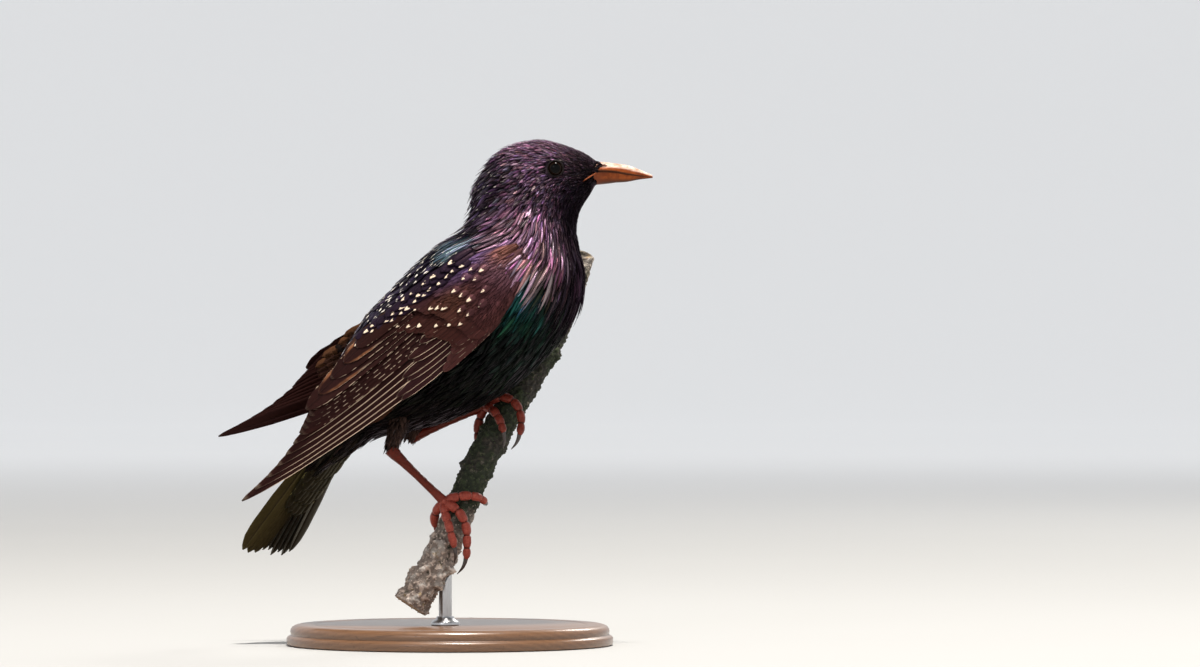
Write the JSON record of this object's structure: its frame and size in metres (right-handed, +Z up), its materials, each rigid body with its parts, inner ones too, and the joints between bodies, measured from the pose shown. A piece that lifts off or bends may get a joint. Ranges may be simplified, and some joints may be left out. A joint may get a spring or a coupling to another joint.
{
  "type": "common starling display model on a branch perch",
  "caption": "Life-size common starling gripping a slanted cut branch, with folded wings and fanned tail, held by a round base and a short rod.",
  "frame": {"origin": "centre of the underside of the round stand base, which rests on the floor", "axes": "+X the way the bird faces, -Y its right side, +Z up"},
  "size_m": [0.1666, 0.124, 0.1916],
  "materials": {
    "plumage": "black feathers with a purple and green gloss and pale spots",
    "flight_feather": "dark brown feathers with buff edges",
    "bill_horn": "satin pinkish-yellow horn",
    "leg_skin": "satin scaled red-brown skin",
    "claw_horn": "dark satin horn",
    "eye_glass": "glossy dark brown",
    "bark": "rough bark with grey-green lichen",
    "base_wood": "satin varnished wood",
    "rod_steel": "brushed"
  },
  "bodies": {
    "root": {"head": "plumage", "neck": "plumage", "torso": "plumage", "tail": "flight_feather", "wing_right": "flight_feather", "wing_left": "flight_feather", "bill_upper": "bill_horn", "bill_lower": "bill_horn", "eye_right": "eye_glass", "eye_left": "eye_glass", "thigh_right": "plumage", "thigh_left": "plumage", "tarsus_right": "leg_skin", "tarsus_left": "leg_skin", "foot_right": "leg_skin", "foot_left": "leg_skin", "claw_hallux_right": "claw_horn", "claw_inner_right": "claw_horn", "claw_middle_right": "claw_horn", "claw_outer_right": "claw_horn", "claw_hallux_left": "claw_horn", "claw_inner_left": "claw_horn", "claw_middle_left": "claw_horn", "claw_outer_left": "claw_horn", "perch": "bark", "stand_base": "base_wood", "stand_rod": "rod_steel"}
  },
  "joints": []
}
